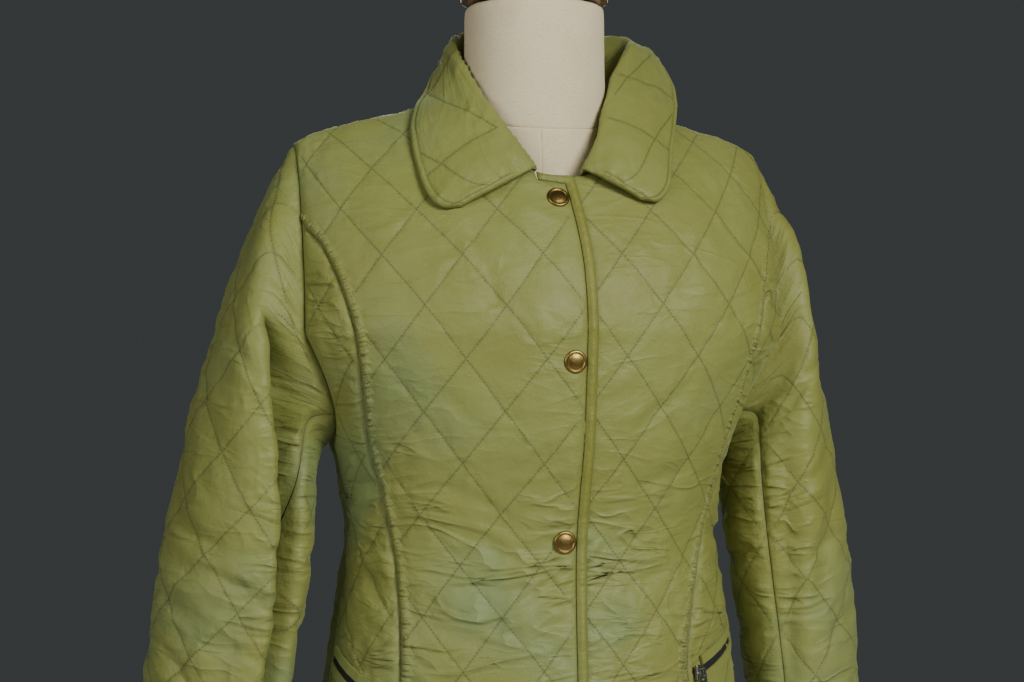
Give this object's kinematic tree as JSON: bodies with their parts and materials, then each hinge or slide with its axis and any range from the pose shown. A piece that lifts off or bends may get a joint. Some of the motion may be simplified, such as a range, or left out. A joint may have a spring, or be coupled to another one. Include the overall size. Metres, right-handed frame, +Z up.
{
  "type": "quilted jacket on a dress form",
  "caption": "Quilted hip-length jacket with rolled collar, snap front, shaped seams and slanted zipped pockets, worn by a limbless dress form on a pole and round base",
  "frame": {"origin": "on the floor at the centre of the underside of the form's round base", "axes": "+Z up, the front faces -Y, the wearer's left is +X"},
  "size_m": [0.6438, 0.38, 1.5223],
  "materials": {
    "quilted_cloth": "soft sheen quilted nylon",
    "binding": "soft sheen woven tape",
    "brass": "antique satin",
    "zip_tape": "matt",
    "pull_metal": "satin",
    "linen": "matt linen",
    "turned_wood": "varnished",
    "pole_steel": "satin"
  },
  "bodies": {
    "jacket_and_form": {"back": "quilted_cloth", "collar": "quilted_cloth", "form_base": "turned_wood", "form_neck_cap": "turned_wood", "form_pole": "pole_steel", "form_torso": "linen", "front_binding": "binding", "front_left": "quilted_cloth", "front_right": "quilted_cloth", "pocket_welt_lower_left": "quilted_cloth", "pocket_welt_lower_right": "quilted_cloth", "pocket_welt_upper_left": "quilted_cloth", "pocket_welt_upper_right": "quilted_cloth", "pocket_zip_left": "zip_tape", "pocket_zip_right": "zip_tape", "side_left": "quilted_cloth", "side_right": "quilted_cloth", "sleeve_under_left": "quilted_cloth", "sleeve_under_right": "quilted_cloth", "sleeve_upper_left": "quilted_cloth", "sleeve_upper_right": "quilted_cloth", "snap_cap_1": "brass", "snap_cap_2": "brass", "snap_cap_3": "brass", "snap_cap_4": "brass", "zip_slider_left": "pull_metal", "zip_slider_right": "pull_metal"},
    "pull_left": {"zip_pull_left": "pull_metal"},
    "pull_right": {"zip_pull_right": "pull_metal"}
  },
  "joints": [
    {"name": "zip_pull_left_swing", "type": "hinge", "parent": "jacket_and_form", "child": "pull_left", "pos_m": [0.11639, -0.1103, 0.91201], "axis": [-0.8672, -0.498, 0], "range_deg": [0, 150]},
    {"name": "zip_pull_right_swing", "type": "hinge", "parent": "jacket_and_form", "child": "pull_right", "pos_m": [-0.14529, -0.09152, 0.89048], "axis": [-0.7301, 0.6834, 0], "range_deg": [0, 150]}
  ]
}
